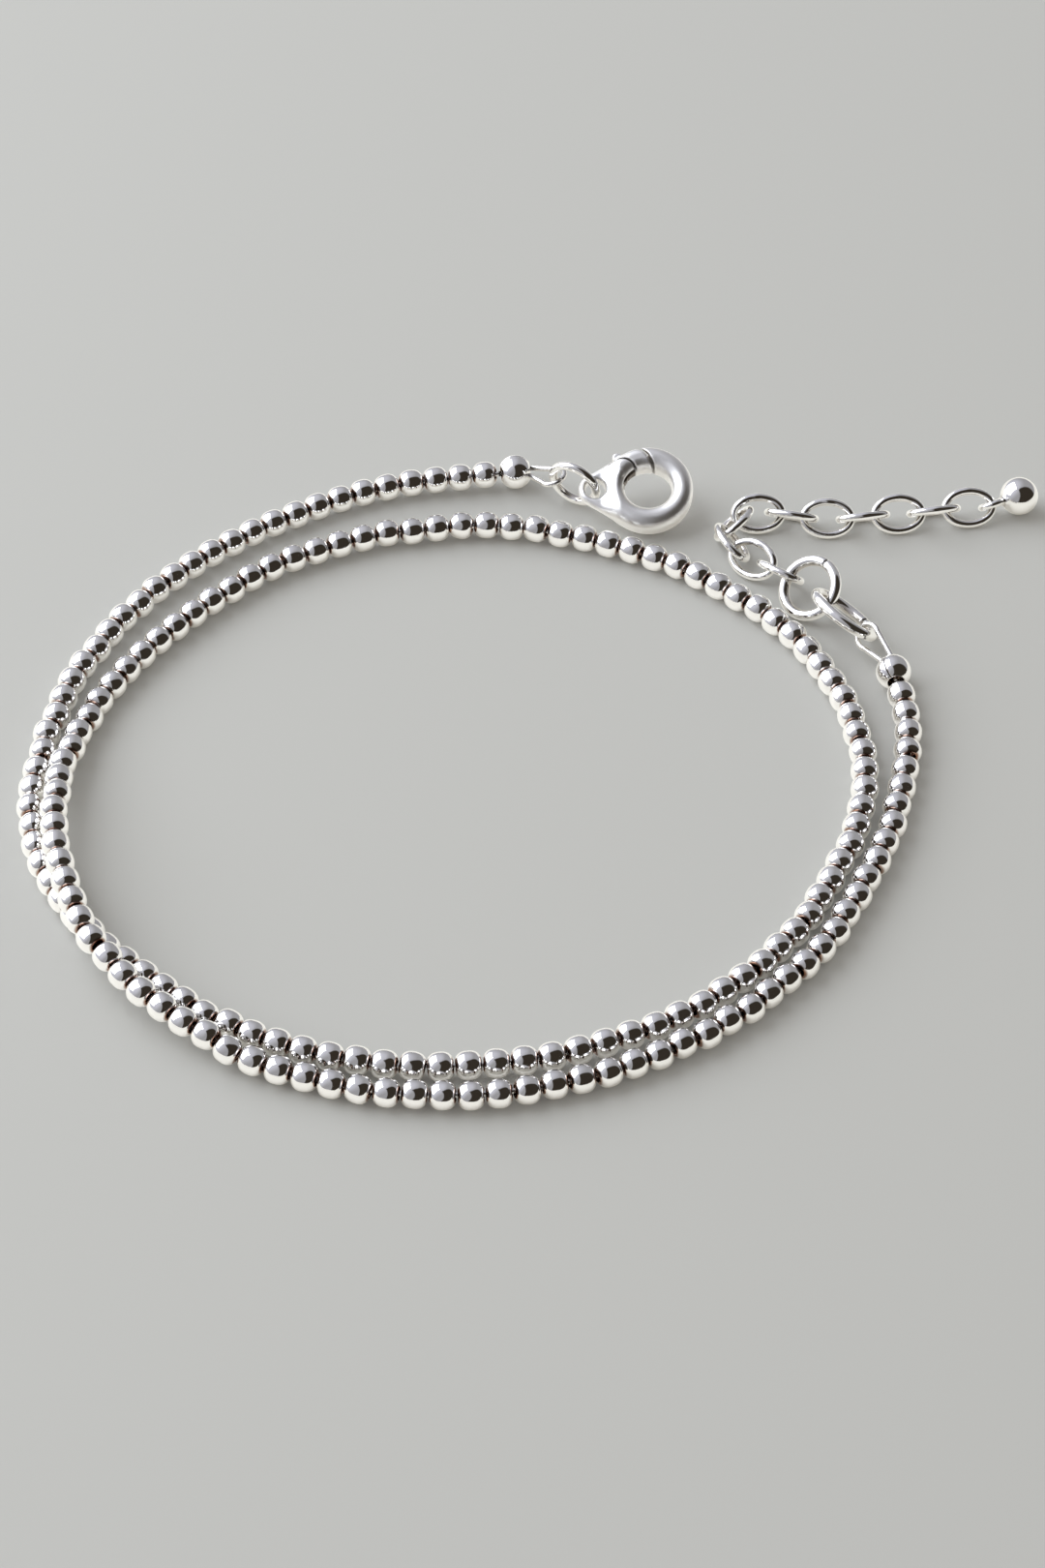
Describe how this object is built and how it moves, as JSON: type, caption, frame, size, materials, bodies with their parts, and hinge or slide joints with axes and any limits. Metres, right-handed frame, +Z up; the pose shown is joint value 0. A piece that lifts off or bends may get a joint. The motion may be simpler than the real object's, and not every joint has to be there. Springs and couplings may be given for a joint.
{
  "type": "wrap bracelet",
  "caption": "Beaded silver bracelet that goes twice round the wrist, with a lobster clasp at one end and an extension chain with a ball at the other, laid open on a flat surface.",
  "frame": {"origin": "middle of the whole bracelet's box in plan, on the surface that it lies on", "axes": "+Z up from the surface, +X along the bracelet's longest side, to the end of the extension chain, +Y towards the clasp and away from the viewer"},
  "size_m": [0.073, 0.0634, 0.0044],
  "materials": {
    "beads": "polished silver, tarnish in the gaps",
    "covers": "polished silver with a seam",
    "wire": "drawn bright wire",
    "chain": "polished silver wire",
    "ball": "polished silver",
    "clasp": "cast silver, tumbled to a soft polish"
  },
  "bodies": {
    "bracelet": {"bead_string_chain_half": "beads", "bead_string_clasp_half": "beads", "crimp_cover_chain": "covers", "crimp_cover_clasp": "covers", "wire_loop_chain": "wire", "wire_loop_clasp": "wire", "jump_ring_clasp": "chain", "jump_ring_chain_1": "chain", "jump_ring_chain_2": "chain", "chain_link_01": "chain", "chain_link_02": "chain", "chain_link_03": "chain", "chain_link_04": "chain", "chain_link_05": "chain", "chain_link_06": "chain", "chain_link_07": "chain", "chain_link_08": "chain", "chain_link_09": "chain", "chain_link_10": "chain", "chain_link_11": "chain", "end_ball": "ball", "clasp_body": "clasp"},
    "lever": {"clasp_lever": "clasp"}
  },
  "joints": [
    {"name": "lever_hinge", "type": "hinge", "parent": "bracelet", "child": "lever", "pos_m": [0.00563, 0.02817, 0.00263], "axis": [0, 0.4067, -0.9135], "range_deg": [0, 28], "stiffness_Nm_per_rad": 0.001, "springref_deg": -17.19}
  ]
}
